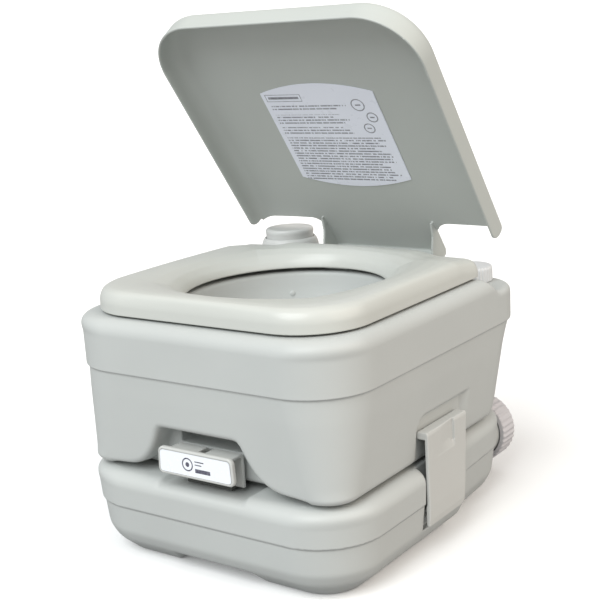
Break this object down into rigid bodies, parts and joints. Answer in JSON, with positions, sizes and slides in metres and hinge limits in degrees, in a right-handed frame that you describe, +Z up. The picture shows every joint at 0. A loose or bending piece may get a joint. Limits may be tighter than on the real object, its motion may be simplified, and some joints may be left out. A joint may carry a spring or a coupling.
{
  "type": "portable cassette toilet",
  "caption": "Two-tank portable cassette toilet: fresh-water tank with bowl, seat and lid on a waste tank with a slide valve and side latches.",
  "frame": {"origin": "middle of the waste tank's base, on the floor", "axes": "+Z up, -Y to the front where the valve handle is, +X to the right of someone facing the front"},
  "size_m": [0.3692, 0.4321, 0.5809],
  "materials": {
    "tank_hdpe": "blow-moulded polyethylene, pale grey-green, fine grain",
    "lid_plastic": "moulded polyethylene, pale grey-green, satin",
    "seat_plastic": "moulded plastic, near white, satin gloss",
    "trim_plastic": "injection-moulded plastic, pale grey",
    "cap_grey": "injection-moulded plastic, cool grey",
    "white_plastic": "white plastic",
    "label": null,
    "rubber": "black rubber",
    "steel": "zinc-plated steel"
  },
  "bodies": {
    "waste_unit": {"lower_tank": "tank_hdpe", "valve_frame": "trim_plastic", "valve_seal": "rubber", "valve_screw_1": "steel", "valve_screw_2": "steel", "valve_screw_3": "steel", "valve_screw_4": "steel", "latch_pin_left": "steel", "latch_pin_right": "steel"},
    "fresh_unit": {"upper_tank": "tank_hdpe", "bowl_outlet_seal": "rubber", "hinge_pin_left": "trim_plastic", "hinge_pin_right": "trim_plastic", "pump_collar": "trim_plastic", "pump_base": "white_plastic", "intake_valve": "rubber", "outlet_valve": "rubber", "intake_tube": "white_plastic", "flush_tube": "white_plastic", "flush_nozzle": "white_plastic", "pump_bellows": "rubber"},
    "pump": {"pump_button": "trim_plastic"},
    "lid": {"lid": "lid_plastic", "lid_label": "label"},
    "seat": {"seat": "seat_plastic", "seat_buffer_1": "rubber", "seat_buffer_2": "rubber", "seat_buffer_3": "rubber", "seat_buffer_4": "rubber"},
    "filler": {"filler_cap": "white_plastic", "filler_gasket": "rubber"},
    "spout": {"spout_cap": "cap_grey", "spout_gasket": "rubber"},
    "latch_r": {"latch_right": "trim_plastic"},
    "latch_l": {"latch_left": "trim_plastic"},
    "valve": {"valve_blade": "white_plastic", "valve_handle": "trim_plastic", "handle_label": "label"}
  },
  "joints": [
    {"name": "lift_off", "type": "slide", "parent": "waste_unit", "child": "fresh_unit", "axis": [0, 0, 1], "range_m": [0, 0.12]},
    {"name": "lid_hinge", "type": "hinge", "parent": "fresh_unit", "child": "lid", "pos_m": [0, 0.1628, 0.2698], "axis": [-1, 0, 0], "range_deg": [-54.6, 42]},
    {"name": "seat_hinge", "type": "hinge", "parent": "fresh_unit", "child": "seat", "pos_m": [0, 0.1628, 0.2698], "axis": [-1, 0, 0], "range_deg": [0, 34]},
    {"name": "flush_press", "type": "slide", "parent": "fresh_unit", "child": "pump", "axis": [0, 0, -1], "range_m": [0, 0.014], "stiffness_N_per_m": 1000, "springref_m": -0.005, "deforming": ["pump_bellows"]},
    {"name": "filler_turn", "type": "hinge", "parent": "fresh_unit", "child": "filler", "pos_m": [0.124, 0.17, 0.262], "axis": [0, 0, 1], "continuous": true},
    {"name": "spout_cap_turn", "type": "hinge", "parent": "waste_unit", "child": "spout", "pos_m": [0.112, 0.212, 0.058], "axis": [0, 1, 0], "continuous": true},
    {"name": "latch_right_swing", "type": "hinge", "parent": "waste_unit", "child": "latch_r", "pos_m": [0.1745, 0, 0.047], "axis": [0, 1, 0], "range_deg": [0, 30]},
    {"name": "latch_left_swing", "type": "hinge", "parent": "waste_unit", "child": "latch_l", "pos_m": [-0.1745, 0, 0.047], "axis": [0, -1, 0], "range_deg": [0, 30]},
    {"name": "valve_slide", "type": "slide", "parent": "waste_unit", "child": "valve", "axis": [0, -1, 0], "range_m": [0, 0.095]}
  ]
}
